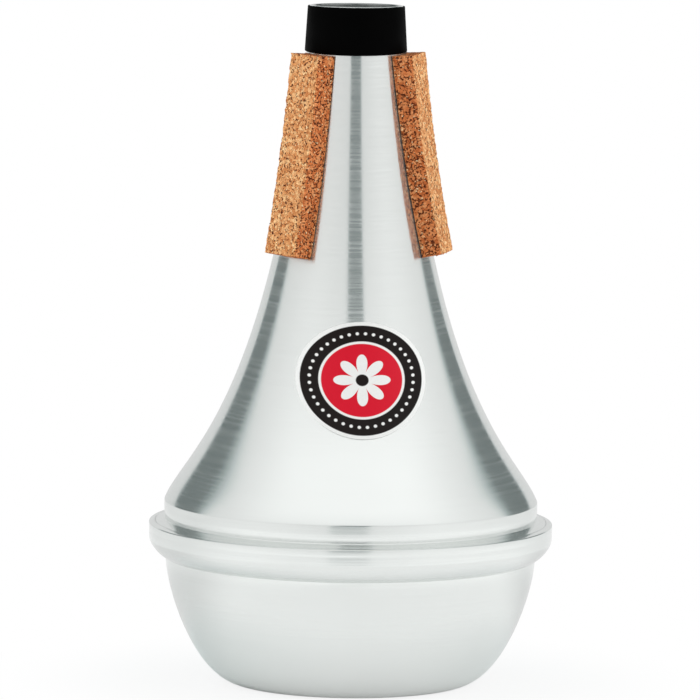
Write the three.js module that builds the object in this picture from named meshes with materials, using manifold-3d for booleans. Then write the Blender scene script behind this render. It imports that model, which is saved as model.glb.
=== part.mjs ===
// A trumpet straight mute: a spun aluminium cone seamed to a spun bowl, with cork strips for the bell.
// Millimetres. The origin is the middle of the flat base, +Z runs up to the throat, and -Y is the front.
import * as THREE from 'three';
import { mergeVertices } from 'three/addons/utils/BufferGeometryUtils.js';
import Module from 'manifold-3d';

const wasm = await Module();
wasm.setup();

// Spun sheet, and the play between its layers in the seam
const sheet = 1.0;
const seamClearance = 0.1;

// Bowl, from the flat base up to the groove under its rim
const baseRadius = 24.5;
const grooveStep = 3.8;
const bowlDepth = 28.3;
const bowlCurveShares = { base: 0.58, rim: 0.26 };

// Rim of the bowl, which swells out over the groove to an upright wall and folds in over the hem of the cone
const rimRadius = 45.2;
const rimSwell = 4.4;
const rimWall = 3.6;
const rimTurn = 0.3;
const rimSwellShares = { out: 0.4, up: 0.11, belly: 0.35 };

// Hem of the cone, locked under the folded rim, and a ledge flush with it that runs in to the shoulder band
const hemStep = 1.4;
const ledgeRise = 0.35;
const creaseRun = 0.35;
const creaseRise = 0.4;

// Cone, from the upright shoulder band through the flare to the neck
const shoulderStep = 3.4;
const shoulderBand = 3.75;
const shoulderRound = 0.3;
const flareHeight = 101.25;
const flareSlope = THREE.MathUtils.degToRad(22.2);
const flareReach = 10.95;
const neckSlope = THREE.MathUtils.degToRad(5.5);
const neckReach = 80.5;
const throatRadius = 11.0;
const mouthRadius = 10.45;
const mouthRise = 10.85;

// Collar, a thin black sleeve pushed over the neck to just below its mouth
const collarFootRadius = 11.45;
const collarTopRadius = 11.0;
const collarHeight = 10.7;
const collarEdge = 0.3;
const collarClearance = 0.06;

// Cork strips, flat outside and hollowed inside to lie on the cone
const corkCount = 3;
const corkWidth = 9.7;
const corkThickness = 3.8;
const corkDrop = 45.0;
const corkGap = 0.45;

// Contact glue between a strip and the cone
const glueThickness = 0.2;
const seatClearance = 0.05;

// Oval paper label on the front of the flare
const labelWidth = 29.0;
const labelHeight = 25.0;
const labelRise = 30.4;
const labelThickness = 0.15;
const labelTurn = THREE.MathUtils.degToRad(-5);

// Faces and steps that the round forms are drawn with
const facesPerCork = 16;
const turnFaces = facesPerCork * corkCount;
const bowlSteps = 9;
const rimSteps = 4;
const roundSteps = 2;
const flareSteps = 14;
const labelSteps = 20;

// The steps in from the rim, and the heights that stand on each other
const bowlRadius = rimRadius - grooveStep;
const hemRadius = rimRadius - hemStep;
const shoulderRadius = rimRadius - shoulderStep;
const wallFoot = bowlDepth + rimSwell;
const wallTop = wallFoot + rimWall;
const edgeHeight = wallTop + rimTurn;
const ledgeHeight = edgeHeight + ledgeRise;
const creaseHeight = ledgeHeight + creaseRise;
const shoulderHeight = creaseHeight + shoulderBand;
const labelCentre = shoulderHeight + labelRise;
const throatHeight = shoulderHeight + flareHeight;

function point(radius, height) {
  return new THREE.Vector2(radius, height);
}

// The direction that leans by an angle from upright towards the axis
function lean(angle) {
  return point(-Math.sin(angle), Math.cos(angle));
}

// The same outline moved outward along its own normals, for one that runs upward
function grown(path, distance) {
  return path.map((corner, index) => {
    const last = path.length - 1;
    const before = path[Math.max(index, 1) - 1];
    const after = path[Math.min(index + 1, last)];
    const into = corner.equals(before) ? after.clone().sub(corner) : corner.clone().sub(before);
    const out = corner.equals(after) ? into.clone() : after.clone().sub(corner);
    const normals = [into, out].map((step) => point(step.y, -step.x).normalize());
    const mitre = normals[0].clone().add(normals[1]);
    return mitre.multiplyScalar(distance / (1 + normals[0].dot(normals[1]))).add(corner);
  });
}

// The stretch of an upward outline between two heights
function stretch(path, low, high) {
  const at = (height) => {
    const next = path.findIndex((corner) => corner.y > height);
    const [below, above] = [path[next - 1], path[next]];
    return below.clone().lerp(above, (height - below.y) / (above.y - below.y));
  };
  return [at(low), ...path.filter((corner) => corner.y > low && corner.y < high), at(high)];
}

// A solid of revolution about the upright axis
function turned(profile) {
  return new THREE.LatheGeometry(profile, turnFaces).rotateX(Math.PI / 2);
}

// A turned shell between two distances outside an outline
function turnedShell(path, inner, outer) {
  const outside = grown(path, outer);
  return turned([...outside, ...grown(path, inner).reverse(), outside[0]]);
}

// Boolean solids from closed geometry and back
function toSolid(geometry) {
  const bare = geometry.clone();
  bare.deleteAttribute('normal');
  bare.deleteAttribute('uv');
  const merged = mergeVertices(bare);
  return new wasm.Manifold(new wasm.Mesh({
    numProp: 3,
    vertProperties: new Float32Array(merged.attributes.position.array),
    triVerts: new Uint32Array(merged.index.array),
  }));
}

function toGeometry(solid) {
  const mesh = solid.getMesh();
  const geometry = new THREE.BufferGeometry();
  geometry.setAttribute('position', new THREE.BufferAttribute(mesh.vertProperties, mesh.numProp));
  geometry.setIndex(new THREE.BufferAttribute(mesh.triVerts, 1));
  return geometry;
}

// Outlines of the outer surfaces, each running upward
function bowlOutline() {
  const groove = point(bowlRadius, bowlDepth);
  const spread = bowlCurveShares.base * (bowlRadius - baseRadius);
  const side = new THREE.CubicBezierCurve(
    point(baseRadius, 0),
    point(baseRadius + spread, 0),
    point(bowlRadius, bowlDepth * (1 - bowlCurveShares.rim)),
    groove,
  );
  return [point(0, 0), ...side.getPoints(bowlSteps)];
}

function rimOutline() {
  const swell = rimRadius - bowlRadius;
  const under = new THREE.CubicBezierCurve(
    point(bowlRadius, bowlDepth),
    point(bowlRadius + swell * rimSwellShares.out, bowlDepth + rimSwell * rimSwellShares.up),
    point(rimRadius, wallFoot - rimSwell * rimSwellShares.belly),
    point(rimRadius, wallFoot),
  );
  return [
    ...under.getPoints(rimSteps),
    point(rimRadius, wallTop),
    point(hemRadius + seamClearance, edgeHeight),
  ];
}

function hemOutline() {
  const inset = sheet + seamClearance;
  return [
    point(rimRadius - inset, wallFoot),
    point(rimRadius - inset, wallTop - inset),
    point(hemRadius, edgeHeight - inset),
    point(hemRadius, edgeHeight),
    point(shoulderRadius + creaseRun, ledgeHeight),
    point(shoulderRadius, creaseHeight),
  ];
}

function flareOutline() {
  const corner = point(shoulderRadius, shoulderHeight);
  const foot = lean(flareSlope).multiplyScalar(shoulderRound).add(corner);
  const throat = point(throatRadius, throatHeight);
  const round = new THREE.QuadraticBezierCurve(point(corner.x, corner.y - shoulderRound), corner, foot);
  const flare = new THREE.CubicBezierCurve(
    foot,
    lean(flareSlope).multiplyScalar(flareReach).add(foot),
    lean(neckSlope).multiplyScalar(-neckReach).add(throat),
    throat,
  );
  const mouth = point(mouthRadius, throatHeight + mouthRise);
  return [...round.getPoints(roundSteps), ...flare.getPoints(flareSteps).slice(1), mouth];
}

const flarePath = flareOutline();

// Spun bowl, closed at the base
function baseBowl() {
  const outside = [...bowlOutline(), ...rimOutline().slice(1)];
  const lip = outside.at(-1);
  const inside = grown(outside, -sheet).slice(0, -1);
  return turned([...outside, point(lip.x, lip.y - sheet), ...inside.reverse()]);
}

// Spun cone, open at the throat
function coneBody() {
  return turnedShell([...hemOutline(), ...flarePath], -sheet, 0);
}

function throatCollar() {
  const top = throatHeight + collarHeight;
  const foot = point(collarFootRadius, throatHeight);
  const bore = stretch(grown(flarePath, collarClearance), throatHeight, top);
  return turned([
    foot,
    point(collarTopRadius, top - collarEdge),
    point(collarTopRadius - collarEdge, top),
    ...bore.reverse(),
    foot,
  ]);
}

// A block across the back of the cone, from one distance outside its surface to another
function corkBlock(inner, outer) {
  const high = throatHeight - corkGap;
  const path = stretch(flarePath, high - corkDrop, high);
  const side = new THREE.Shape([...grown(path, outer), ...grown(path, inner).reverse()]);
  const block = new THREE.ExtrudeGeometry(side, { depth: corkWidth, bevelEnabled: false });
  const upright = new THREE.Matrix4().makeBasis(
    new THREE.Vector3(0, 1, 0),
    new THREE.Vector3(0, 0, 1),
    new THREE.Vector3(1, 0, 0),
  );
  return block.translate(0, 0, -corkWidth / 2).applyMatrix4(upright);
}

const glueLine = glueThickness + 2 * seatClearance;
const corkRoot = corkWidth / 4;

function corkStrip() {
  const block = toSolid(corkBlock(-corkRoot, glueLine + corkThickness));
  return toGeometry(block.subtract(toSolid(turnedShell(flarePath, -2 * corkRoot, glueLine))));
}

function glueFilm() {
  const block = toSolid(corkBlock(-corkRoot, glueLine));
  const film = turnedShell(flarePath, seatClearance, seatClearance + glueThickness);
  return toGeometry(block.intersect(toSolid(film)));
}

function ovalLabel() {
  const oval = new THREE.Shape().absellipse(0, 0, labelWidth / 2, labelHeight / 2, 0, 2 * Math.PI);
  const beam = new THREE.ExtrudeGeometry(oval, {
    depth: shoulderRadius,
    bevelEnabled: false,
    curveSegments: labelSteps,
  });
  beam.rotateX(Math.PI / 2).translate(0, 0, labelCentre).rotateZ(labelTurn);
  const skin = turnedShell(flarePath, seatClearance, seatClearance + labelThickness);
  return toGeometry(toSolid(beam).intersect(toSolid(skin)));
}

// Finishes of the pieces
function finish(color, roughness, metalness) {
  return new THREE.MeshStandardMaterial({ color, roughness, metalness });
}

const aluminium = () => finish(0xd5d8d8, 0.32, 1);
const cork = () => finish(0xc98b55, 0.9, 0);
const glue = () => finish(0xa57a3a, 0.6, 0);
const rubber = () => finish(0x0c0c0d, 0.45, 0);
const paper = () => finish(0xf2f2f0, 0.4, 0);

// Assembly
const mute = new THREE.Group();

function addPiece(name, geometry, material) {
  const piece = new THREE.Mesh(geometry, material);
  piece.name = name;
  mute.add(piece);
  return piece;
}

addPiece('base_bowl', baseBowl(), aluminium());
addPiece('cone_body', coneBody(), aluminium());
addPiece('throat_collar', throatCollar(), rubber());

const stripGeometry = corkStrip();
const filmGeometry = glueFilm();
['back', 'left', 'right'].forEach((side, index) => {
  const turn = index * 2 * Math.PI / corkCount;
  addPiece(`cork_${side}`, stripGeometry, cork()).rotation.z = turn;
  addPiece(`cork_glue_${side}`, filmGeometry, glue()).rotation.z = turn;
});

addPiece('label', ovalLabel(), paper());

export default mute;
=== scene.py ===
import math
from functools import partial

import bmesh
import bpy
import numpy as np
from mathutils import Matrix, Vector, noise


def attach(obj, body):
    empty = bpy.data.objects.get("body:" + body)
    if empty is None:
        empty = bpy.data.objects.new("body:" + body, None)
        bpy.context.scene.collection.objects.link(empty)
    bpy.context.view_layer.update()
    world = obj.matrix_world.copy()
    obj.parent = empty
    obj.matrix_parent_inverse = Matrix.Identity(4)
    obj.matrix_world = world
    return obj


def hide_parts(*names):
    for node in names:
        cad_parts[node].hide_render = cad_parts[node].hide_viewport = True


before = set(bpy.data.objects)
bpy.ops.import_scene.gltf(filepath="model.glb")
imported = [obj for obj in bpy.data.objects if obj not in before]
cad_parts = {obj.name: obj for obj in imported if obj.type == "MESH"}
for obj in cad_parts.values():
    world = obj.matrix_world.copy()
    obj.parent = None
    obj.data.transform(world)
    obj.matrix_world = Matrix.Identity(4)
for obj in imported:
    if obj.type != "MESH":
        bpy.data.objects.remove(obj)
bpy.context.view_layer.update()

mm = 0.001
photoSize = 700
sharpFrom = 40.0         # degrees between two faces, from which their edge shows as a sharp one
white = (1, 1, 1, 1)
scene = bpy.context.scene
scene.view_settings.view_transform = "Standard"

# Node settings that come up often
smoothStep = {"interpolation_type": "SMOOTHSTEP"}
times, timesPlus, plus, minus, per = (
    {"operation": name} for name in ("MULTIPLY", "MULTIPLY_ADD", "ADD", "SUBTRACT", "DIVIDE"))


def addNode(tree, kind, inputs=(), **settings):
    # Shader nodes go by their short names. Inputs come by place or by name: values, sockets or nodes
    node = tree.nodes.new(kind if "Node" in kind else "ShaderNode" + kind)
    for name, value in settings.items():
        setattr(node, name, value)
    for name, value in inputs.items() if isinstance(inputs, dict) else enumerate(inputs):
        if isinstance(value, bpy.types.Node):
            value = next(socket for socket in value.outputs if socket.enabled)
        if isinstance(value, bpy.types.NodeSocket):
            tree.links.new(value, node.inputs[name])
        else:
            node.inputs[name].default_value = value
    return node


def linearColour(code):
    # sRGB hex to the linear colour that the shaders work in
    channels = [int(code[at:at + 2], 16) / 255 for at in (1, 3, 5)]
    return [c / 12.92 if c <= 0.04045 else ((c + 0.055) / 1.055) ** 2.4 for c in channels] + [1.0]


def newMaterial(name):
    material = bpy.data.materials.new(name)
    material.use_nodes = True
    material.node_tree.nodes.clear()
    return material, partial(addNode, material.node_tree)


# The photograph looks a little from the left and from above
camera = {
    "azimuth": -10.0,
    "elevation": 7.3,
    "distance": 3000.0,      # millimetres from the aimed point
    "aimHeight": 75.0,
    "aimSide": -0.57,        # the axis stands a little right of the middle
    "roll": 0.65,            # the picture is not quite level
    "focalPixels": 13401.0,
    "sensor": 36.0,
    "farClip": 100.0,
}


def placeCamera():
    turn, rise = math.radians(camera["azimuth"]), math.radians(camera["elevation"])
    back = Vector((math.sin(turn) * math.cos(rise), -math.cos(turn) * math.cos(rise), math.sin(rise)))
    right = Vector((math.cos(turn), math.sin(turn), 0))
    aim = Vector((0, 0, camera["aimHeight"])) + right * camera["aimSide"]
    data = bpy.data.cameras.new("camera")
    data.sensor_width = camera["sensor"]
    data.lens = camera["focalPixels"] / photoSize * data.sensor_width
    data.clip_end = camera["farClip"]
    eye = bpy.data.objects.new("camera", data)
    scene.collection.objects.link(eye)
    level = Matrix((right, back.cross(right), back)).transposed().to_4x4()
    place = Matrix.Translation((aim + back * camera["distance"]) * mm)
    eye.matrix_world = place @ level @ Matrix.Rotation(math.radians(camera["roll"]), 4, "Z")
    scene.camera = eye


placeCamera()
print("camera placed")


# Soft white surroundings, with the dark flags that shiny metal is photographed against. Directions are
# degrees from the camera or up. A range is from and to, and then what it gives at each
studio = {
    "frontWidth": (4.0, 29.0, 11.4, 9.6),    # half width of the dark camera side, by elevation
    "frontLean": 0.15,       # it leans to the right, degrees for each degree up
    "frontSide": (2.2, -1.8),                # its soft edges: where the flag ends and where it is full
    "frontTop": (31.0, 27.0),
    "frontFoot": (-9.2, -4.8),
    "frontShade": 0.27,
    "sideShift": 3.5,        # the dark flags behind both sides stand a little to the right
    "sideFrom": 109.5,
    "sideFromLean": 0.22,    # they lean away from the camera
    "sideFromSoft": (6.0, 40.0, 4.0, 16.0),  # and their near edges grow softer on the way up
    "sideTo": (140.0, 134.0),
    "sideToLean": 1.0,
    "sideFoot": (-1.0, 3.0),
    "sideShade": 0.13,
    "flagTint": "#e0ffff",   # the flags are a cool grey, the one in front less so
    "frontTinted": 0.6,
    "overhead": (5.0, 54.0, 0.87, 1.18),     # the light by elevation
    "besideFront": (12.0, 55.0, 0.9, 1.0),   # the wall beside the front flag is dimmer too, low down
    "lowDown": (45.0, 20.0),
    "atSides": (50.0, 118.0),                # and so are the walls beside the side flags
    "sideDim": (8.0, 34.0, 0.88, 0.79),
    "behind": (125.0, 150.0, 1.0, 0.94),
    "rightSide": 0.035,      # how much more the right gives than the middle
    "farTable": (-3.0, -9.0, 1.0, 1.2),      # the far end of the table is brighter in reflections
    "mattLow": 0.48,         # what matt surfaces get from the front, and more of it from both sides
    "mattSides": 2.0,
}


def addFlag(add, edges, shade):
    # A dark flag, soft at its edges: each one is a value, where the flag ends and where it is full
    cover = 1.0
    for edge in edges:
        soft = add("MapRange", edge, **smoothStep)
        cover = add("Math", (soft, cover), **times)
    return add("MapRange", {"Value": cover, "To Min": 1.0, "To Max": shade})


def lightStudio():
    world = bpy.data.worlds.new("softStudio")
    scene.world = world
    world.use_nodes = True
    world.node_tree.nodes.clear()
    add = partial(addNode, world.node_tree)
    ray = add("TexCoord").outputs["Generated"]
    turned = add("VectorRotate", {"Vector": ray, "Angle": -math.radians(camera["azimuth"])},
                 rotation_type="Z_AXIS")
    axes = add("SeparateXYZ", {"Vector": turned}).outputs
    front = add("Math", (axes["Y"], -1.0), **times)
    heading = add("Math", (axes["X"], front), operation="ARCTAN2")
    azimuth = add("Math", (heading,), operation="DEGREES")
    side = add("Math", (azimuth,), operation="ABSOLUTE")
    sine = add("Math", (axes["Z"],), operation="ARCSINE")
    elevation = add("Math", (sine,), operation="DEGREES")

    # The camera side: how far a direction lies outside a strip that narrows and leans on the way up
    halfWidth = add("MapRange", (elevation, *studio["frontWidth"]))
    upright = add("Math", (elevation, -studio["frontLean"], azimuth), **timesPlus)
    across = add("Math", (upright,), operation="ABSOLUTE")
    beyond = add("Math", (across, halfWidth), **minus)
    frontFlag = addFlag(add, ((beyond, *studio["frontSide"]), (elevation, *studio["frontTop"]),
                              (elevation, *studio["frontFoot"])), studio["frontShade"])

    # The side flags, with an upright foot and edges that lean
    softness = add("MapRange", (elevation, *studio["sideFromSoft"]))
    sharpness = add("Math", (softness, -1.0), **times)
    shifted = add("Math", (azimuth, studio["sideShift"]), **minus)
    toSide = add("Math", (shifted,), operation="ABSOLUTE")
    nearLean = add("Math", (elevation, -studio["sideFromLean"], toSide), **timesPlus)
    nearEdge = add("Math", (nearLean, studio["sideFrom"]), **minus)
    farEdge = add("Math", (elevation, -studio["sideToLean"], toSide), **timesPlus)
    sideFlag = addFlag(add, ((nearEdge, sharpness, softness), (farEdge, *studio["sideTo"]),
                             (elevation, *studio["sideFoot"])), studio["sideShade"])

    light = add("MapRange", (elevation, *studio["overhead"]))
    besideFront = add("MapRange", (side, *studio["besideFront"]), **smoothStep)
    lowDown = add("MapRange", (elevation, *studio["lowDown"]), **smoothStep)
    nearFront = add("Mix", {"Factor": lowDown, "A": 1.0, "B": besideFront})
    sideDim = add("MapRange", (elevation, *studio["sideDim"]))
    atSides = add("MapRange", (side, *studio["atSides"], 1.0, sideDim), **smoothStep)
    behind = add("MapRange", (side, *studio["behind"]), **smoothStep)
    rightward = add("Math", (axes["X"], studio["rightSide"], 1.0), **timesPlus)
    farTable = add("MapRange", (elevation, *studio["farTable"]), **smoothStep)
    for share in (nearFront, atSides, behind, rightward, frontFlag, sideFlag, farTable):
        light = add("Math", (light, share), **times)

    # Matt surfaces are lit from both sides, and the camera sees a plain white backdrop
    path = add("LightPath").outputs
    sideways = add("Math", (axes["X"], axes["X"]), **times)
    soft = add("Math", (sideways, studio["mattSides"], studio["mattLow"]), **timesPlus)
    matt = add("Mix", {"Factor": path["Is Diffuse Ray"], "A": light, "B": soft})
    shade = add("Mix", {"Factor": path["Is Camera Ray"], "A": matt, "B": 1.0})
    inSide = add("MapRange", (sideFlag, 1.0, studio["sideShade"]))
    inFront = add("MapRange", (frontFlag, 1.0, studio["frontShade"], 0.0, studio["frontTinted"]))
    inFlag = add("Math", (inSide, inFront), operation="MAXIMUM")
    tinted = add("Math", (inFlag, path["Is Camera Ray"]), **minus, use_clamp=True)
    colour = add("Mix", {"Factor": tinted, "A": white, "B": linearColour(studio["flagTint"])},
                 data_type="RGBA")
    sky = add("Background", {"Color": colour, "Strength": shade})
    add("OutputWorld", {"Surface": sky})


# A matt white board, with a glow for the camera and for reflections that leaves a soft shadow
floor = {
    "colour": "#f6f6f6",
    "radius": 0.24,          # metres, as all lengths here
    "segments": 128,
    "fade": (0.03, 0.085, 0.84, 1.0),        # share of the white that the camera sees, by the way out
    "contact": (0.022, 0.058),               # the shadow in reflections, wider than it is deep
    "contactLeft": 0.0045,   # it lies a little to the left and behind
    "contactBack": 0.003,
    "contactWide": 1.25,
    "behind": (-0.3, 0.5, 1.0, 0.76),        # painted shade: reflections see the floor's glow turned down behind the object
    "behindTurn": 15.0,
    # painted light: far out, reflections see the floor's glow brighter than white
    "paintedFarGlow": (0.1, 0.2, 1.0, 1.2),
}


def layFloor():
    material, add = newMaterial("mattWhiteBoard")
    place = add("TexCoord").outputs["Object"]

    # How far a place lies to the camera's right, straight back, and back but turned a little
    ways = []
    for turn in (0, 90, 90 + floor["behindTurn"]):
        heading = math.radians(camera["azimuth"] + turn)
        way = (math.cos(heading), math.sin(heading), 0)
        ways.append(add("VectorMath", (place, way), operation="DOT_PRODUCT"))

    reach = add("VectorMath", (place,), operation="LENGTH")
    fade = add("MapRange", (reach, *floor["fade"]), **smoothStep)
    fromLeft = add("Math", (ways[0], floor["contactLeft"]), **plus)
    narrowed = add("Math", (fromLeft, floor["contactWide"]), **per)
    fromBack = add("Math", (ways[1], floor["contactBack"]), **minus)
    oval = add("CombineXYZ", (narrowed, fromBack))
    ovalReach = add("VectorMath", (oval,), operation="LENGTH")
    contact = add("MapRange", (ovalReach, *floor["contact"]))
    path = add("LightPath").outputs
    shiny = add("Math", (path["Is Glossy Ray"], path["Is Transmission Ray"]), operation="MAXIMUM")
    seen = add("Math", (path["Is Camera Ray"], fade), **times)
    mirrored = add("Math", (shiny, contact), **times)
    amount = add("Math", (seen, mirrored), operation="MAXIMUM")
    # Painted shade and light for reflections: the floor's glow is turned down behind the object and turned
    # up past white far out
    depth = add("Math", (ways[2], reach), **per)
    paintedShadeBehind = add("MapRange", (depth, *floor["behind"]), **smoothStep)
    paintedFarLight = add("MapRange", (reach, *floor["paintedFarGlow"]), **smoothStep)
    paintedShading = add("Math", (paintedShadeBehind, paintedFarLight), **times)
    level = add("Mix", {"Factor": shiny, "A": 1.0, "B": paintedShading})
    matt = add("BsdfDiffuse", {"Color": linearColour(floor["colour"])})
    glow = add("Emission", {"Color": white, "Strength": level})
    mixed = add("MixShader", (amount, matt, glow))
    add("OutputMaterial", {"Surface": mixed})
    mesh = bpy.data.meshes.new("floor")
    shape = bmesh.new()
    bmesh.ops.create_circle(shape, cap_ends=True, segments=floor["segments"], radius=floor["radius"])
    shape.to_mesh(mesh)
    shape.free()
    mesh.materials.append(material)
    board = bpy.data.objects.new("floor", mesh)
    scene.collection.objects.link(board)


lightStudio()
layFloor()
print("studio lit")


def bezier(start, first, second, end, steps):
    share = np.linspace(0, 1, steps + 1)[:, None]
    start, first, second, end = map(np.array, (start, first, second, end))
    return [tuple(spot) for spot in (
        (1 - share) ** 3 * start + 3 * share * (1 - share) ** 2 * first
        + 3 * share ** 2 * (1 - share) * second + share ** 3 * end)]


def offset(path, distance):
    # An upward path moved outward by a distance, point for point
    path = np.array(path)
    step = np.diff(path, axis=0)
    step /= np.linalg.norm(step, axis=1)[:, None]
    normal = np.column_stack((step[:, 1], -step[:, 0]))
    before, after = np.vstack((normal[:1], normal)), np.vstack((normal, normal[-1:]))
    meet = 1 + (before * after).sum(1)
    return path + distance * (before + after) / meet[:, None], step


def beside(path, distance, same=1e-6, folded=1e-4):
    # The same without the points that would fold back
    path = [spot for index, spot in enumerate(path)
            if index == 0 or math.dist(spot, path[index - 1]) > same]
    moved, step = offset(path, distance)
    kept = [0]
    for index in range(1, len(path)):
        if np.dot(moved[index] - moved[kept[-1]], step[index - 1]) > folded:
            kept.append(index)
    return [tuple(moved[index]) for index in kept]


def softened(corners, radii, steps=4, pull=0.55):
    # Round the corners of a path, each by its own radius; this pull makes the arcs nearly circular
    path = []
    for index, corner in enumerate(corners):
        if radii[index] == 0 or index in (0, len(corners) - 1):
            path.append(corner)
            continue
        here = np.array(corner)
        back = np.array(corners[index - 1]) - here
        on = np.array(corners[index + 1]) - here
        start = here + back / np.linalg.norm(back) * radii[index]
        end = here + on / np.linalg.norm(on) * radii[index]
        path += bezier(start, start + (here - start) * pull, end + (here - end) * pull, end, steps)
    return path


def runLength(path):
    return sum(math.dist(*pair) for pair in zip(path, path[1:]))


def facesOut(mesh):
    shape = bmesh.new()
    shape.from_mesh(mesh)
    bmesh.ops.recalc_face_normals(shape, faces=shape.faces)
    shape.to_mesh(mesh)
    shape.free()


def addPiece(name, mesh, node):
    piece = bpy.data.objects.new(name, mesh)
    scene.collection.objects.link(piece)
    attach(piece, "root")
    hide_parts(node)


def newGroup(name, inputs):
    # A node group with named inputs, and the identifiers that a modifier sets them by
    tree = bpy.data.node_groups.new(name, "GeometryNodeTree")
    sockets = {}
    for label, kind in inputs.items():
        socket = tree.interface.new_socket(label, in_out="INPUT", socket_type="NodeSocket" + kind)
        sockets[label] = socket.identifier
    tree.interface.new_socket("Geometry", in_out="OUTPUT", socket_type="NodeSocketGeometry")
    return partial(addNode, tree), (tree, sockets)


def applied(name, mesh, group, values, sharp=sharpFrom):
    # The plain mesh that a node group makes of another
    tree, sockets = group
    holder = bpy.data.objects.new(name, mesh)
    modifier = holder.modifiers.new("shape", "NODES")
    modifier.node_group = tree
    for label, value in values.items():
        modifier[sockets[label]] = value
    scene.collection.objects.link(holder)
    graph = bpy.context.evaluated_depsgraph_get()
    made = bpy.data.meshes.new_from_object(holder.evaluated_get(graph))
    holder.modifiers.remove(modifier)
    bpy.data.objects.remove(holder)
    facesOut(made)
    made.name = name
    made.set_sharp_from_angle(angle=math.radians(sharp))
    return made


def makeSpinGroup():
    add, group = newGroup("spinProfile", {"Profile": "Geometry", "Faces Round": "Int", "Finish": "Material"})
    given = add("NodeGroupInput").outputs
    count = add("GeometryNodeAttributeDomainSize", {"Geometry": given["Profile"]}).outputs["Point Count"]
    columns = add("Math", (given["Faces Round"], 1), **plus)
    grid = add("GeometryNodeMeshGrid", {"Vertices X": columns, "Vertices Y": count}).outputs
    unwrapped = add("GeometryNodeStoreNamedAttribute", {
        "Geometry": grid["Mesh"], "Name": "UVMap", "Value": grid["UV Map"]},
        data_type="FLOAT2", domain="CORNER")
    index = add("GeometryNodeInputIndex")
    along = add("Math", (index, count), operation="MODULO")
    part = add("Math", (index, count), **per)
    whole = add("Math", (part,), operation="FLOOR")
    share = add("Math", (whole, given["Faces Round"]), **per)
    angle = add("Math", (share, 2 * math.pi), **times)
    spot = add("GeometryNodeInputPosition")
    taken = add("GeometryNodeSampleIndex", {
        "Geometry": given["Profile"], "Value": spot, "Index": along}, data_type="FLOAT_VECTOR")
    turned = add("VectorRotate", {"Vector": taken, "Angle": angle}, rotation_type="Z_AXIS")
    placed = add("GeometryNodeSetPosition", {"Geometry": unwrapped, "Position": turned})
    run = add("GeometryNodeInputNamedAttribute", {"Name": "profileRun"})
    runTaken = add("GeometryNodeSampleIndex", {
        "Geometry": given["Profile"], "Value": run.outputs["Attribute"], "Index": along})
    marked = add("GeometryNodeStoreNamedAttribute", {
        "Geometry": placed, "Name": "profileRun", "Value": runTaken})
    closed = add("GeometryNodeMergeByDistance", {"Geometry": marked, "Distance": 0.001 * mm})
    smooth = add("GeometryNodeSetShadeSmooth", {"Geometry": closed})
    real = add("GeometryNodeRealizeInstances", {"Geometry": smooth})
    finished = add("GeometryNodeSetMaterial", {"Geometry": real, "Material": given["Finish"]})
    add("NodeGroupOutput", (finished,))
    return group


spinGroup = makeSpinGroup()


def spun(name, path, finish, facesRound):
    # A closed path of radius and height in millimetres, spun into a solid
    run = np.concatenate(([0], np.cumsum(np.linalg.norm(np.diff(np.array(path), axis=0), axis=1))))
    mesh = bpy.data.meshes.new(name)
    mesh.from_pydata([(r * mm, 0, z * mm) for r, z in path],
                     [(index, index + 1) for index in range(len(path) - 1)], [])
    mesh.attributes.new("profileRun", "FLOAT", "POINT").data.foreach_set("value", run * mm)
    return applied(name, mesh, spinGroup, {"Faces Round": facesRound, "Finish": finish})


# Spun aluminium: turned on a lathe and polished with a fine abrasive, so faint lines run round it.
# They keep reflections crisp from side to side and draw them out up and down, and the fine scratches
# give the metal a little of a matt white, which Metallic below 1 stands for.
aluminium = {
    "colour": "#e8ebe9",
    "inside": "#a3a6a5",     # the inside is a darker grey: partly the duller sheet, partly painted shade inside the hollow
    "turnIn": 0.5,           # millimetres over which the outside gives way to it
    "metallic": 0.85,
    "lines": (0.42, 1.2, 2.0),               # millimetres apart, changes round the axis, and detail;
    "bands": (3.5, 0.5, 1.0),                # the finest real lines are closer, these are what shows
    "smudges": (0.06, 3.0),  # to the millimetre, and detail
    "blotched": 0.15,        # share of the bands, and of the smudges, in the roughness
    "lineTint": (0.3, 0.7, 0.975, 1.0),      # ranges: the noise from and to, and what it gives at each
    "roughness": (0.4, 0.65, 0.12, 0.27),    # from the smooth lines to the ones that the tool left
    "anisotropy": 0.6,
    "lineDepth": 0.003,
}


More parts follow.
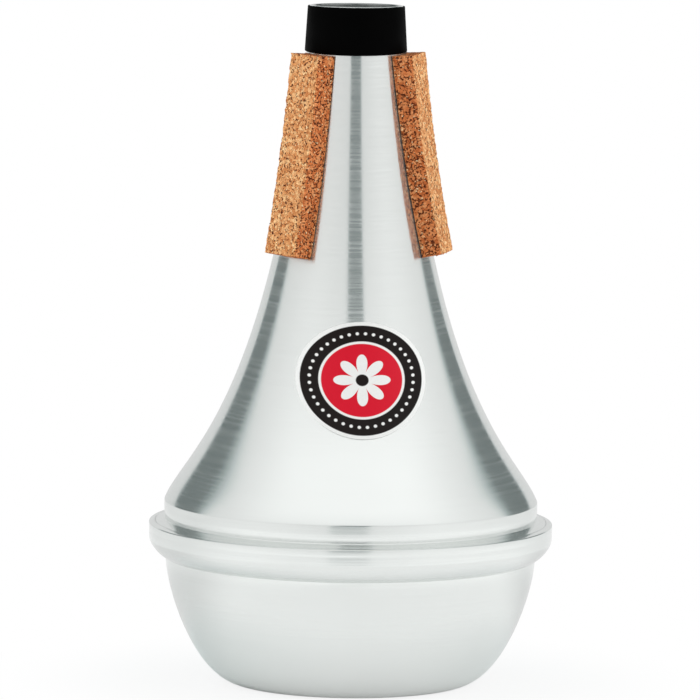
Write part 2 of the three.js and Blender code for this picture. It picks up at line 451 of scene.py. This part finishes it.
def makeAluminium(name, outsideRun):
    # The outside reaches from the start of the profile to outsideRun, in millimetres
    material, add = newMaterial(name)
    place = add("TexCoord").outputs["Object"]
    flat = add("VectorMath", (place, (1, 1, 0)), **times)
    heading = add("VectorMath", (flat,), operation="NORMALIZE")
    run = add("Attribute", attribute_name="profileRun").outputs["Fac"]

    # Noise that changes quickly along the profile and slowly round the axis
    def rings(spacing, turnScale, detail):
        lift = add("Math", (run, spacing * mm), **per)
        up = add("CombineXYZ", {"Z": lift})
        wide = add("VectorMath", {0: heading, "Scale": turnScale}, operation="SCALE")
        where = add("VectorMath", (wide, up), **plus)
        return add("TexNoise", {"Vector": where, "Scale": 1.0, "Detail": detail, "Roughness": 0.6})

    lines, bands = rings(*aluminium["lines"]), rings(*aluminium["bands"])
    density, detail = aluminium["smudges"]
    smudges = add("TexNoise", {"Vector": place, "Scale": density / mm, "Detail": detail})
    tint = add("MapRange", (lines, *aluminium["lineTint"]))
    # Past the edge the colour turns to the darker inside grey, partly painted shade for the hollow
    inside = add("MapRange", (run, outsideRun * mm, (outsideRun + aluminium["turnIn"]) * mm))
    bare = add("Mix", {"Factor": inside, "A": linearColour(aluminium["colour"]),
                       "B": linearColour(aluminium["inside"])}, data_type="RGBA")
    colour = add("VectorMath", {0: bare, "Scale": tint}, operation="SCALE")
    mixed = add("Mix", {"Factor": aluminium["blotched"], "A": lines, "B": bands})
    worn = add("Mix", {"Factor": aluminium["blotched"], "A": mixed, "B": smudges})
    roughness = add("MapRange", (worn, *aluminium["roughness"]))
    bump = add("Bump", {"Height": lines, "Distance": aluminium["lineDepth"] * mm})
    tangent = add("Tangent", direction_type="RADIAL", axis="Z")
    shader = add("BsdfPrincipled", {
        "Base Color": colour, "Metallic": aluminium["metallic"], "Roughness": roughness, "Normal": bump,
        "Anisotropic": aluminium["anisotropy"], "Anisotropic Rotation": 0.25, "Tangent": tangent})
    add("OutputMaterial", {"Surface": shader})
    return material


bowl = {
    "sheet": 1.0,
    "baseRadius": 24.5,
    "baseSteps": 8,
    "grooveRadius": 41.4,
    "grooveHeight": 28.3,
    "sideOut": 0.58,         # handles of the curve from the base to the groove, as shares of its reach
    "sideUp": 0.74,
    "sideSteps": 56,
    "swellOut": 0.4,         # and of the one from the groove out to the wall
    "swellUp": 0.11,
    "swellBelly": 0.35,
    "swellSteps": 22,
    "wallFoot": 32.7,
    "wallRadius": 45.12,     # the wall stands out a little towards its top
    "wallMiddle": 34.45,
    "rimRadius": 45.2,
    "wallTop": 36.1,
    "wallRound": 0.16,
    "edgeRadius": 43.85,
    "edgeHeight": 36.42,
    "edgeRound": 0.06,
    "edgeClear": 0.02,
    "facesRound": 320,
}


def makeBowl():
    base, groove, depth = bowl["baseRadius"], bowl["grooveRadius"], bowl["grooveHeight"]
    wall, foot, sheet = bowl["wallRadius"], bowl["wallFoot"], bowl["sheet"]
    edge = (bowl["edgeRadius"], bowl["edgeHeight"])
    swell, rise = wall - groove, foot - depth
    disc = [(base * step / bowl["baseSteps"], 0) for step in range(bowl["baseSteps"])]
    side = bezier((base, 0), (base + bowl["sideOut"] * (groove - base), 0),
                  (groove, depth * bowl["sideUp"]), (groove, depth), bowl["sideSteps"])
    under = bezier((groove, depth), (groove + swell * bowl["swellOut"], depth + rise * bowl["swellUp"]),
                   (wall, foot - rise * bowl["swellBelly"]), (wall, foot), bowl["swellSteps"])
    over = softened([under[-1], (wall, bowl["wallMiddle"]), (bowl["rimRadius"], bowl["wallTop"]), edge],
                    [0, bowl["wallRound"], bowl["wallRound"], 0], steps=6)
    outside = disc + side + under[1:] + over[1:]
    inside = [spot for spot in beside(outside, -sheet)
              if spot[0] < edge[0] or spot[1] < edge[1] - sheet - bowl["edgeClear"]]
    lip = softened([outside[-2], edge, (edge[0], edge[1] - sheet), inside[-2]],
                   [0, bowl["edgeRound"], 0, 0])
    path = outside[:-1] + lip[1:-1] + inside[:-1][::-1]
    path[-1] = (0, sheet)
    finish = makeAluminium("spunAluminiumBowl", runLength(outside))
    addPiece("bowl", spun("bowl", path, finish, bowl["facesRound"]), "base_bowl")


cone = {
    "sheet": 1.0,
    "hemRadius": 43.97,
    "seamGap": 0.13,
    "ledgeRadius": 43.8,
    "waistRadius": 41.6,     # the band draws in a little above the ledge
    "waistHeight": 36.95,
    "waistRound": 0.12,
    "waistTop": 38.4,
    "waistBlend": 0.6,
    "shoulderRadius": 41.8,
    "shoulderHeight": 41.1,
    "shoulderRound": 0.12,
    "shoulderSteps": 8,
    "flareSlope": 22.2,
    "flareReach": 10.95,
    "flareSteps": 110,
    "neckSlope": 5.5,
    "neckReach": 80.5,
    "throatRadius": 11.0,
    "throatHeight": 142.35,
    "mouthRadius": 10.45,
    "mouthRise": 10.85,
    "mouthRound": 0.25,
    "mouthTilt": 3.2,        # degrees; the mouth was trimmed askew, higher at the front
    "tiltFrom": 5.0,         # millimetres above the throat
    "facesRound": 320,
}


def lean(angle, length):
    return np.array((-math.sin(math.radians(angle)), math.cos(math.radians(angle)))) * length


def flarePath():
    corner = np.array((cone["shoulderRadius"], cone["shoulderHeight"]))
    foot = corner + lean(cone["flareSlope"], cone["shoulderRound"])
    throat = np.array((cone["throatRadius"], cone["throatHeight"]))
    below = corner - (0, cone["shoulderRound"])
    turn = bezier(below, below + (corner - below) * 2 / 3, foot + (corner - foot) * 2 / 3, foot,
                  cone["shoulderSteps"])
    flare = bezier(foot, foot + lean(cone["flareSlope"], cone["flareReach"]),
                   throat - lean(cone["neckSlope"], cone["neckReach"]), throat, cone["flareSteps"])
    mouth = (cone["mouthRadius"], cone["throatHeight"] + cone["mouthRise"])
    return turn + flare[1:] + [mouth]


def tiltMouth(mesh):
    # Slant what lies near the mouth, more of it higher up
    turn = math.radians(camera["azimuth"])
    towards = Vector((math.sin(turn), -math.cos(turn), 0))
    slope = math.tan(math.radians(cone["mouthTilt"]))
    reach = cone["mouthRadius"] * mm
    low, high = (cone["throatHeight"] + cone[rise] for rise in ("tiltFrom", "mouthRise"))
    for vertex in mesh.vertices:
        share = min(1, max(0, (vertex.co.z / mm - low) / (high - low)))
        vertex.co.z += slope * share * (vertex.co.dot(towards) - reach)


def makeCone():
    hem, ledge, edge = cone["hemRadius"], cone["ledgeRadius"], bowl["edgeHeight"]
    waist, foot, top = cone["waistRadius"], cone["waistHeight"], cone["waistTop"]
    under = bowl["sheet"] + cone["seamGap"]
    flare = flarePath()
    hidden = [(hem, bowl["wallFoot"]), (hem, bowl["wallTop"] - under), (ledge, edge - under)]
    crease = softened([hidden[-1], (ledge, edge), (waist, foot), (cone["shoulderRadius"], top), flare[0]],
                      [0, bowl["edgeRound"], cone["waistRound"], (top - foot) * cone["waistBlend"], 0],
                      steps=10)
    outside = hidden + crease[1:-1] + flare
    inside = beside(outside, -cone["sheet"])
    mouth = softened([outside[-2], outside[-1], inside[-1], inside[-2]],
                     [0, cone["mouthRound"], cone["mouthRound"], 0])
    path = outside[:-1] + mouth[1:-1] + inside[:-1][::-1]
    finish = makeAluminium("spunAluminiumCone", runLength(outside))
    mesh = spun("cone", path + path[:1], finish, cone["facesRound"])
    tiltMouth(mesh)
    addPiece("cone", mesh, "cone_body")


makeBowl()
makeCone()
print("bowl and cone spun")


# Moulded black rubber: matt, with a faint pebble from the mould and a few grains of dust.
collar = {
    "footRadius": 11.45,
    "topRadius": 10.85,
    "height": 10.7,
    "clearance": 0.06,
    "edgeRound": 0.16,
    "facesRound": 192,
    "colour": "#020202",
    "specular": 0.02,
    "smudges": (0.22, 3.0),  # to the millimetre, and detail
    "roughness": (0.3, 0.7, 0.52, 0.68),
    "pebble": 0.5,
    "pebbleDepth": 0.012,
    "dust": "#8d8a84",
    "dustSpacing": 1.7,
    "dustShare": 0.07,
    "dustFade": (0.06, 0.12, 0.8, 0.0),      # how much it covers, by the way out from a grain's middle
}


def makeCollarRubber():
    material, add = newMaterial("mouldedRubber")
    place = add("TexCoord").outputs["Object"]
    pebble = add("TexNoise", {"Vector": place, "Scale": 1 / (collar["pebble"] * mm), "Detail": 2.0})
    density, detail = collar["smudges"]
    handling = add("TexNoise", {"Vector": place, "Scale": density / mm, "Detail": detail})
    dust = add("TexVoronoi", {"Vector": place, "Scale": 1 / (collar["dustSpacing"] * mm)}).outputs
    pick = add("SeparateColor", {"Color": dust["Color"]}).outputs
    rare = add("Math", (pick["Red"], collar["dustShare"]), operation="LESS_THAN")
    near = add("MapRange", (dust["Distance"], *collar["dustFade"]))
    grain = add("Math", (near, rare), **times)
    colour = add("Mix", {"Factor": grain, "A": linearColour(collar["colour"]),
                         "B": linearColour(collar["dust"])}, data_type="RGBA")
    roughness = add("MapRange", (handling, *collar["roughness"]))
    bump = add("Bump", {"Height": pebble, "Distance": collar["pebbleDepth"] * mm})
    shader = add("BsdfPrincipled", {
        "Base Color": colour, "Roughness": roughness, "IOR": 1.5,
        "Specular IOR Level": collar["specular"], "Normal": bump})
    add("OutputMaterial", {"Surface": shader})
    return material


def makeCollar():
    foot, height = cone["throatHeight"], collar["height"]
    bore = cone["throatRadius"] + collar["clearance"]
    narrowing = (cone["throatRadius"] - cone["mouthRadius"]) * height / cone["mouthRise"]
    corners = [(bore, foot), (collar["footRadius"], foot), (collar["topRadius"], foot + height),
               (bore - narrowing, foot + height), (bore, foot)]
    path = softened(corners, [0, collar["edgeRound"], collar["edgeRound"], 0, 0])
    mesh = spun("collar", path, makeCollarRubber(), collar["facesRound"])
    tiltMouth(mesh)
    addPiece("collar", mesh, "throat_collar")


makeCollar()
print("collar moulded")


cork = {
    "width": 9.7,
    "thickness": 3.65,
    "length": 45.0,
    "collarGap": 0.3,
    "glueLine": 0.3,         # the strip's inner face above the cone
    "facet": 0.22,           # edge of a mesh face
    "sharpFrom": 75,
    "grain": 0.72,
    "relief": 0.14,
    "fineDensity": 2.5,    # fine lumps to each granule, and their share of the relief
    "fineShare": 0.5,
    "level": 0.45,           # the relief's share that stands proud
    "heldDepth": 0.6,        # next to the cone the strip keeps its shape
    "chip": 1.3,
    "chipDepth": 0.22,
    "chipReach": 0.5,
    "chipped": (0.42, 0.68, 0.2, 1.0),
    "crumbs": 26,
    "crumbSize": 0.34,
    "crumbSpread": (0.5, 1.4),
    "crumbDent": 0.9,
    "brink": 0.12,           # they hang on within this distance of an edge
}

glue = {
    "above": 0.05,
    "thickness": 0.2,
    "facet": 0.5,
    "inset": 0.3,            # the film stops short of the cork's edge
    "spread": 0.3,           # and its own edge wavers by this much
    "waver": 0.5,            # to the millimetre
    "rim": 0.3,
}


def stripLine(length, facet):
    # The stretch of the cone that a strip covers, in even steps
    path = np.array(flarePath())
    high = cone["throatHeight"] - cork["collarGap"]
    heights = np.linspace(high - length, high, round(length / facet) + 1)
    return np.column_stack((np.interp(heights, path[:, 1], path[:, 0]), heights))


def stripMesh(name, inner, outer, width, facet, cut, isFilm=False):
    # A block over the cone: hollow inside to follow it, and flat from side to side outside unless it
    # is a film. Its foot may be turned a little further round, and be a little wider and thicker
    line = stripLine(cork["length"], facet)
    under, _ = offset(line, inner)
    thicken = 0 if isFilm else cut["thicken"]
    over, _ = offset(line, outer + thicken * np.linspace(1, 0, len(line))[:, None])
    turn, skew, flare = math.radians(cut["turn"]), math.radians(cut["skew"]), cut["flare"]
    count = (round(width / facet), max(1, round((outer - inner) / facet)), len(line) - 1)
    spots, index, edges = [], {}, []

    def corner(a, d, t):
        key = (a, d, t)
        if key not in index:
            down = 1 - t / count[2]
            across = (width + flare * down) * (a / count[0] - 0.5)
            share = d / count[1]
            heading = turn + skew * down
            out = np.array((math.sin(heading), -math.cos(heading), 0))
            side = np.array((math.cos(heading), math.sin(heading), 0))
            outside = math.sqrt(over[t][0] ** 2 - across ** 2) if isFilm else over[t][0]
            reach = (1 - share) * math.sqrt(under[t][0] ** 2 - across ** 2) + share * outside
            height = (1 - share) * under[t][1] + share * over[t][1]
            index[key] = len(spots)
            spots.append((out * reach + side * across + (0, 0, height)) * mm)
            depth = (1 - share) * (outer - inner)
            ends = min(t, count[2] - t) * facet
            near = sorted(((width + flare * down) / 2 - abs(across), depth, ends))[1]
            edges.append((near, share * (outer - inner)))
        return index[key]

    faces, sawn = [], []

    def sheet(spot, high, wide, isSawn):
        for i in range(high):
            for j in range(wide):
                faces.append([spot(i, j), spot(i + 1, j), spot(i + 1, j + 1), spot(i, j + 1)])
                sawn.append(isSawn)

    across, deep, long = count
    sheet(lambda i, j: corner(i, deep, j), across, long, 0.0)
    sheet(lambda i, j: corner(i, 0, j), across, long, 0.0)
    for end in (0, across):
        sheet(lambda i, j: corner(end, i, j), deep, long, 1.0)
    for end in (0, long):
        sheet(lambda i, j: corner(i, j, end), across, deep, 1.0)
    mesh = bpy.data.meshes.new(name)
    mesh.from_pydata(spots, [], faces)
    mesh.attributes.new("cutFace", "FLOAT", "FACE").data.foreach_set("value", sawn)
    for label, column in (("edgeDistance", 0), ("innerDistance", 1)):
        values = [pair[column] * mm for pair in edges]
        mesh.attributes.new(label, "FLOAT", "POINT").data.foreach_set("value", values)
    facesOut(mesh)
    return mesh


def makeCrumbleGroup():
    sizes = ("Grain Size", "Relief", "Chip Size", "Chip Depth", "Chip Reach", "Crumbs", "Crumb Size", "Seed")
    add, group = newGroup("crumbleCork", {
        "Strip": "Geometry", **dict.fromkeys(sizes, "Float"), "Finish": "Material"})
    given = add("NodeGroupInput").outputs
    spot = add("GeometryNodeInputPosition")
    edge, inner = (
        add("GeometryNodeInputNamedAttribute", {"Name": name})
        for name in ("edgeDistance", "innerDistance"))
    free = add("MapRange", (inner, 0.0, cork["heldDepth"] * mm), **smoothStep)
    coarse, finer, broad = (
        add("Math", (number, given[size]), **per)
        for number, size in ((1.0, "Grain Size"), (cork["fineDensity"], "Grain Size"), (1.0, "Chip Size")))
    grains = add("TexVoronoi", {"Vector": spot, "W": given["Seed"], "Scale": coarse},
                 voronoi_dimensions="4D")
    fine, torn = (
        add("TexNoise", {"Vector": spot, "W": given["Seed"], "Scale": scale, "Detail": detail},
            noise_dimensions="4D")
        for scale, detail in ((finer, 2.0), (broad, 3.0)))

    # Granules stand a little proud, with hollows between them
    lumps = add("Math", (fine, cork["fineShare"], grains), **timesPlus)
    height = add("Math", (cork["level"], lumps), **minus)
    relief = add("Math", (height, given["Relief"]), **times)

    # Edges are worn, and here and there a granule has broken out
    deep = add("MapRange", (torn, *cork["chipped"]), **smoothStep)
    atEdge = add("MapRange", (edge, given["Chip Reach"], 0.0), **smoothStep)
    worn = add("Math", (deep, atEdge), **times)
    chips = add("Math", (worn, given["Chip Depth"]), **times)
    shift = add("Math", (relief, chips), **minus)
    amount = add("Math", (shift, free), **times)
    normal = add("GeometryNodeInputNormal")
    push = add("VectorMath", {0: normal, "Scale": amount}, operation="SCALE")
    moved = add("GeometryNodeSetPosition", {"Geometry": given["Strip"], "Offset": push})

    # Loose crumbs hang on along the edges
    brink = add("Math", (edge, cork["brink"] * mm), operation="LESS_THAN")
    whole = add("Math", (given["Seed"], 10.0), **times)
    spots = add("GeometryNodeDistributePointsOnFaces", {
        "Mesh": moved, "Selection": brink, "Density": given["Crumbs"], "Seed": whole})
    ball = add("GeometryNodeMeshIcoSphere", {"Radius": 0.5, "Subdivisions": 2})
    dents = add("TexNoise", {"Vector": spot, "Scale": 3.0, "Detail": 1.0}).outputs["Color"]
    dent = add("VectorMath", (dents, (cork["crumbDent"],) * 3, (-cork["crumbDent"] / 2,) * 3), **timesPlus)
    crumb = add("GeometryNodeSetPosition", {"Geometry": ball, "Offset": dent})
    swivel = add("FunctionNodeRandomValue", {"Min": (0, 0, 0), "Max": (6, 6, 6), "Seed": whole},
                 data_type="FLOAT_VECTOR")
    small, large = cork["crumbSpread"]
    spread = add("FunctionNodeRandomValue", {"Min": small, "Max": large, "Seed": whole})
    across = add("Math", (spread, given["Crumb Size"]), **times)
    strewn = add("GeometryNodeInstanceOnPoints", {
        "Points": spots, "Instance": crumb, "Rotation": swivel, "Scale": across})
    both = add("GeometryNodeJoinGeometry", (strewn,))
    both.id_data.links.new(moved.outputs[0], both.inputs[0])
    real = add("GeometryNodeRealizeInstances", {"Geometry": both})
    smooth = add("GeometryNodeSetShadeSmooth", {"Geometry": real})
    finished = add("GeometryNodeSetMaterial", {"Geometry": smooth, "Material": given["Finish"]})
    add("NodeGroupOutput", (finished,))
    return group


# Agglomerated cork: bark granules about a millimetre wide, pressed with a dark binder and sliced.
# The sliced outside is sanded and pale, the sawn sides are redder and full of pits, darkened with painted
# shade.
granules = {
    "darkest": "#c07744",
    "palest": "#f0bf88",
    "between": ((0.3, "#d48d55"), (0.65, "#df9f68")),
    "sawn": "#ffdaca",
    # painted shade in the open pits, over the dark binder
    "shadedPit": "#5a250d",
    "scraps": (("Red", 0.1, "#6b3417"), ("Green", 0.12, "#f8dcae")),    # dark bark, and paler chips
    "scrapDensity": 1.6,   # scraps to each granule
    "scrapFade": (0.22, 0.42, 1.0, 0.0),
    "shake": (1.3, 2.0, 0.8),                # to the millimetre, detail, and millimetres of it
    "fine": (3.6, 3.0, 0.7),                 # to the millimetre, detail and roughness
    "grit": (0.34, 0.66, 0.72, 1.22),
    "patches": (1.7, 1.0),
    "opening": (0.57, 0.5),  # patches above this have open joins: on the outside and where sawn
    "openingFade": 0.07,
    "joinWidth": (0.2, 0.08),
    "dome": 0.3,
    "fineRise": 0.8,
    "bump": 0.14,
    "roughness": 0.88,
}


def makeCork():
    material, add = newMaterial("agglomeratedCork")
    place = add("TexCoord").outputs["Object"]
    cut = add("Attribute", attribute_name="cutFace").outputs["Fac"]
    density, detail, reach = granules["shake"]
    jitter = add("TexNoise", {"Vector": place, "Scale": density / mm, "Detail": detail})
    shaken = add("VectorMath", (jitter.outputs["Color"], (reach * mm,) * 3, place), **timesPlus)
    size = 1 / (cork["grain"] * mm)
    cells = add("TexVoronoi", {"Vector": shaken, "Scale": size}).outputs["Color"]
    pick = add("SeparateColor", {"Color": cells}).outputs
    seams = add("TexVoronoi", {"Vector": shaken, "Scale": size}, feature="DISTANCE_TO_EDGE")
    tone = add("ValToRGB", {"Fac": pick["Red"]})
    ramp = tone.color_ramp.elements
    ramp[0].color, ramp[1].color = linearColour(granules["darkest"]), linearColour(granules["palest"])
    for position, code in granules["between"]:
        ramp.new(position).color = linearColour(code)
    density, detail, roughness = granules["fine"]
    fine = add("TexNoise", {
        "Vector": place, "Scale": density / mm, "Detail": detail, "Roughness": roughness})
    grit = add("MapRange", (fine, *granules["grit"]))
    body = add("VectorMath", {0: tone, "Scale": grit}, operation="SCALE")
    warmth = add("Mix", {"Factor": cut, "A": body, "B": linearColour(granules["sawn"])},
                 data_type="RGBA", blend_type="MULTIPLY")

    # Some of the joins between granules are open pits, far more of them where the saw tore; their dark brown
    # is painted shade in the hollows over the dark binder
    density, detail = granules["patches"]
    patches = add("TexNoise", {"Vector": place, "Scale": density / mm, "Detail": detail})
    closed, torn = granules["opening"]
    opening = add("Mix", {"Factor": cut, "A": closed, "B": torn})
    opened = add("Math", (patches, opening), **minus)
    wide = add("MapRange", (opened, 0.0, granules["openingFade"]), **smoothStep)
    near = add("MapRange", (seams, *granules["joinWidth"]), **smoothStep)
    shadedPit = add("Math", (wide, near), **times)
    colour = add("Mix", {"Factor": shadedPit, "A": warmth, "B": linearColour(granules["shadedPit"])}, data_type="RGBA")

    barks = add("TexVoronoi", {"Vector": shaken, "Scale": size * granules["scrapDensity"]}).outputs
    barkPick = add("SeparateColor", {"Color": barks["Color"]}).outputs
    core = add("MapRange", (barks["Distance"], *granules["scrapFade"]))
    for channel, share, code in granules["scraps"]:
        chosen = add("Math", (barkPick[channel], share), operation="LESS_THAN")
        scrap = add("Math", (chosen, core), **times)
        colour = add("Mix", {"Factor": scrap, "A": colour, "B": linearColour(code)}, data_type="RGBA")
    dome = add("MapRange", (seams, 0.0, granules["dome"]))
    rise = add("Math", (fine, granules["fineRise"], dome), **timesPlus)
    height = add("Math", (rise, shadedPit), **minus)
    bump = add("Bump", {"Height": height, "Distance": granules["bump"] * mm})
    shader = add("BsdfPrincipled", {
        "Base Color": colour, "Roughness": granules["roughness"], "IOR": 1.4,
        "Specular IOR Level": 0.25, "Normal": bump})
    add("OutputMaterial", {"Surface": shader})
    return material


# Contact glue: a thin film, a little streaky where it was brushed on; its dark brown is painted shadow for
# the gap under the cork.
def makeGlueWithPaintedShadow():
    material, add = newMaterial("paintedShadowGlue")
    place = add("TexCoord").outputs["Object"]
    streaks = add("TexNoise", {"Vector": place, "Scale": 0.9 / mm, "Detail": 3.0})
    # Painted shadow: these dark browns stand for the shade in the gap under the cork
    colour = add("Mix", {"Factor": streaks, "A": linearColour("#2c150a"), "B": linearColour("#5a3216")},
                 data_type="RGBA")
    bump = add("Bump", {"Height": streaks, "Strength": 0.6, "Distance": 0.03 * mm})
    shader = add("BsdfPrincipled", {"Base Color": colour, "Roughness": 0.5, "IOR": 1.5, "Normal": bump})
    add("OutputMaterial", {"Surface": shader})
    return material


crumbleGroup = makeCrumbleGroup()
agglomeratedCork = makeCork()
glueAndShadow = makeGlueWithPaintedShadow()


def makeStrip(side, cut):
    outer = cork["glueLine"] + cork["thickness"]
    mesh = stripMesh("cork" + side, cork["glueLine"], outer, cork["width"], cork["facet"], cut)
    brinkArea = 4 * (cork["length"] + cork["width"] + cork["thickness"]) * cork["facet"] * mm ** 2
    lengths = {"Grain Size": "grain", "Relief": "relief", "Chip Size": "chip", "Chip Depth": "chipDepth",
               "Chip Reach": "chipReach", "Crumb Size": "crumbSize"}
    values = {label: cork[key] * mm for label, key in lengths.items()}
    values |= {"Crumbs": cork["crumbs"] / brinkArea, "Seed": cut["seed"], "Finish": agglomeratedCork}
    mesh = applied("cork" + side, mesh, crumbleGroup, values, cork["sharpFrom"])
    addPiece("cork" + side, mesh, "cork_" + side.lower())

    film = stripMesh("glue" + side, glue["above"], glue["above"] + glue["thickness"],
                     cork["width"] - 2 * glue["inset"], glue["facet"], cut, isFilm=True)
    turn = math.radians(cut["turn"])
    across = Vector((math.cos(turn), math.sin(turn), 0))
    for vertex, near in zip(film.vertices, film.attributes["edgeDistance"].data):
        where = vertex.co * (glue["waver"] / mm) + Vector((cut["seed"], 0, 0))
        creep = glue["spread"] * noise.noise(where) * mm
        if near.value < glue["rim"] * mm:
            vertex.co += across * math.copysign(creep, vertex.co.dot(across))
    film.materials.append(glueAndShadow)
    film.shade_smooth()
    film.set_sharp_from_angle(angle=math.radians(sharpFrom))
    addPiece("glue" + side, film, "cork_glue_" + side.lower())


# Cut and glued on by hand: degrees round, then more degrees, width and thickness at the foot
makeStrip("Back", {"turn": 180, "skew": -0.4, "flare": 0.2, "thicken": 0.3, "seed": 1.3})
makeStrip("Left", {"turn": -60, "skew": 1.3, "flare": 0.7, "thicken": 0.45, "seed": 4.1})
makeStrip("Right", {"turn": 61, "skew": 2.6, "flare": 0.0, "thicken": 0.2, "seed": 7.7})
print("corks glued on")


# Printed paper sticker: a smooth coated face, with the ink edges crisp and the paper's edge bare.
label = {
    "width": 29.0,
    "height": 25.0,
    "centre": 71.5,
    "turn": -5.0,
    "above": 0.05,
    "thickness": 0.15,
    "rings": 36,
    "spokes": 144,
    "blackOut": 0.94,        # edges of the rings, as shares of the oval
    "dotRing": 0.8,
    "dotSize": 0.026,
    "dots": 40,
    "whiteOut": 0.665,
    "redOut": 0.625,
    "petalRoot": 0.14,
    "petalLength": 0.3,
    "petalBlunt": 0.7,
    "petals": 8,
    "eye": 0.1,
    "inkBlur": 0.006,
    "white": "#f1f1ef",
    "black": "#17100f",
    "red": "#d8162e",
    "fibres": (2.6, 3.0),    # to the millimetre, and detail
    "mottle": (0.3, 0.7, 0.96, 1.0),
    "smudges": (0.14, 3.0),
    "roughness": (0.3, 0.7, 0.3, 0.42),
    "specular": 0.14,
}


def makePrint():
    material, add = newMaterial("printedPaper")
    layout = add("UVMap", uv_map="UVMap")
    middle = add("VectorMath", (layout, (2, 2, 0), (-1, -1, 0)), **timesPlus)
    parts = add("SeparateXYZ", {"Vector": middle}).outputs
    reach = add("VectorMath", (middle,), operation="LENGTH")
    angle = add("Math", (parts["Y"], parts["X"]), operation="ARCTAN2")

    # Petals: the outline swings in and out once for each of them
    swing = add("Math", (angle, label["petals"] / 2), **times)
    wave = add("Math", (swing,), operation="COSINE")
    lobe = add("Math", (wave,), operation="ABSOLUTE")
    blunt = add("Math", (lobe, label["petalBlunt"]), operation="POWER")
    outline = add("Math", (blunt, label["petalLength"], label["petalRoot"]), **timesPlus)
    fromPetals = add("Math", (reach, outline), **minus)

    # Dots: how far along the ring, and then how far from it
    spacing = 2 * math.pi / label["dots"]
    share = add("Math", (angle, spacing), **per)
    within = add("Math", (share,), operation="FRACT")
    centred = add("Math", (within, 0.5), **minus)
    along = add("Math", (centred, spacing * label["dotRing"]), **times)
    away = add("Math", (reach, label["dotRing"]), **minus)
    apart = add("CombineXYZ", (along, away))
    fromDot = add("VectorMath", (apart,), operation="LENGTH")

    # Inks, each laid over the ones before it wherever its value is below its edge
    colour = linearColour(label["white"])
    blur = label["inkBlur"]
    for value, edge, ink in ((reach, label["blackOut"], "black"), (fromDot, label["dotSize"], "white"),
                             (reach, label["whiteOut"], "white"), (reach, label["redOut"], "red"),
                             (fromPetals, 0.0, "white"), (reach, label["eye"], "black")):
        inside = add("MapRange", (value, edge - blur, edge + blur, 1.0, 0.0))
        colour = add("Mix", {"Factor": inside, "A": colour, "B": linearColour(label[ink])}, data_type="RGBA")
    place = add("TexCoord").outputs["Object"]
    fibre, handled = (
        add("TexNoise", {"Vector": place, "Scale": density / mm, "Detail": detail})
        for density, detail in (label["fibres"], label["smudges"]))
    mottle = add("MapRange", (fibre, *label["mottle"]))
    inked = add("VectorMath", {0: colour, "Scale": mottle}, operation="SCALE")
    roughness = add("MapRange", (handled, *label["roughness"]))
    bump = add("Bump", {"Height": fibre, "Strength": 0.4, "Distance": 0.01 * mm})
    shader = add("BsdfPrincipled", {
        "Base Color": inked, "Roughness": roughness, "IOR": 1.5, "Specular IOR Level": label["specular"],
        "Normal": bump})
    add("OutputMaterial", {"Surface": shader})
    return material


def makeLabel():
    rings, spokes = label["rings"], label["spokes"]
    turn = math.radians(label["turn"])
    spots, marks = [], []
    for above in (label["above"], label["above"] + label["thickness"]):
        skin, _ = offset(flarePath(), above)
        for ring in range(rings + 1):
            for spoke in range(spokes if ring else 1):
                angle = 2 * math.pi * spoke / spokes
                u, v = math.cos(angle) * ring / rings, math.sin(angle) * ring / rings
                height = label["centre"] + v * label["height"] / 2
                radius = float(np.interp(height, skin[:, 1], skin[:, 0]))
                heading = turn + math.asin(u * label["width"] / 2 / radius)
                x, y = radius * math.sin(heading), -radius * math.cos(heading)
                spots.append(Vector((x, y, height)) * mm)
                marks.append((0.5 + u / 2, 0.5 + v / 2))
    layer = 1 + rings * spokes

    def at(skin, ring, spoke):
        return skin * layer + (1 + (ring - 1) * spokes + spoke % spokes if ring else 0)

    faces = []
    for spoke in range(spokes):
        after = spoke + 1
        for skin in (0, 1):
            faces.append([at(skin, 0, 0), at(skin, 1, spoke), at(skin, 1, after)])
            for ring in range(1, rings):
                faces.append([at(skin, ring, spoke), at(skin, ring + 1, spoke),
                              at(skin, ring + 1, after), at(skin, ring, after)])
        faces.append([at(0, rings, spoke), at(1, rings, spoke), at(1, rings, after), at(0, rings, after)])
    mesh = bpy.data.meshes.new("label")
    mesh.from_pydata(spots, [], faces)
    facesOut(mesh)
    layout = mesh.uv_layers.new(name="UVMap")
    for loop in mesh.loops:
        layout.data[loop.index].uv = marks[loop.vertex_index]
    mesh.materials.append(makePrint())
    mesh.shade_smooth()
    mesh.set_sharp_from_angle(angle=math.radians(sharpFrom))
    addPiece("sticker", mesh, "label")


makeLabel()
print("label stuck on")
